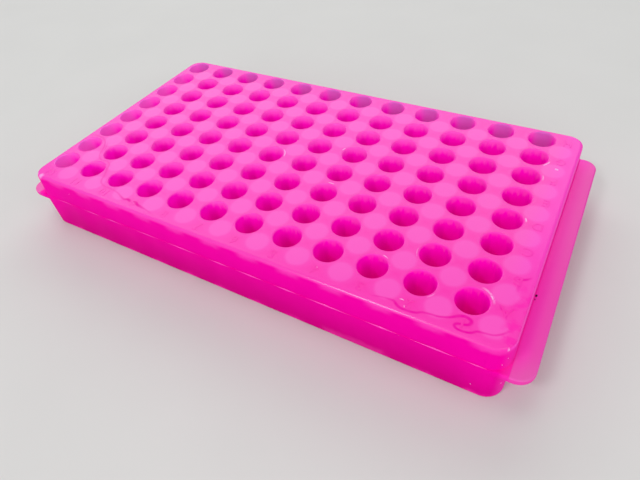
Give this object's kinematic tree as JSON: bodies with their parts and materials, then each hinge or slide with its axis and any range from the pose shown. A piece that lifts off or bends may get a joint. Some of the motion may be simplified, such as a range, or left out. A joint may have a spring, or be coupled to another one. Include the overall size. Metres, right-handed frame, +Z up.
{
  "type": "microcentrifuge tube rack",
  "caption": "Reversible bench rack: round blind wells for 1.5 and 2 ml tubes on top, smaller wells between them underneath, and a flange at each short end.",
  "frame": {"origin": "centre of the base, on the surface that the rack stands on", "axes": "+Z up towards the large wells' mouths, +X along the long side towards the letters' end, +Y towards the back long side"},
  "size_m": [0.2314, 0.1214, 0.028],
  "materials": {
    "rack": "moulded polypropylene, satin, slightly translucent"
  },
  "bodies": {
    "root": {"rack": "rack"}
  },
  "joints": []
}
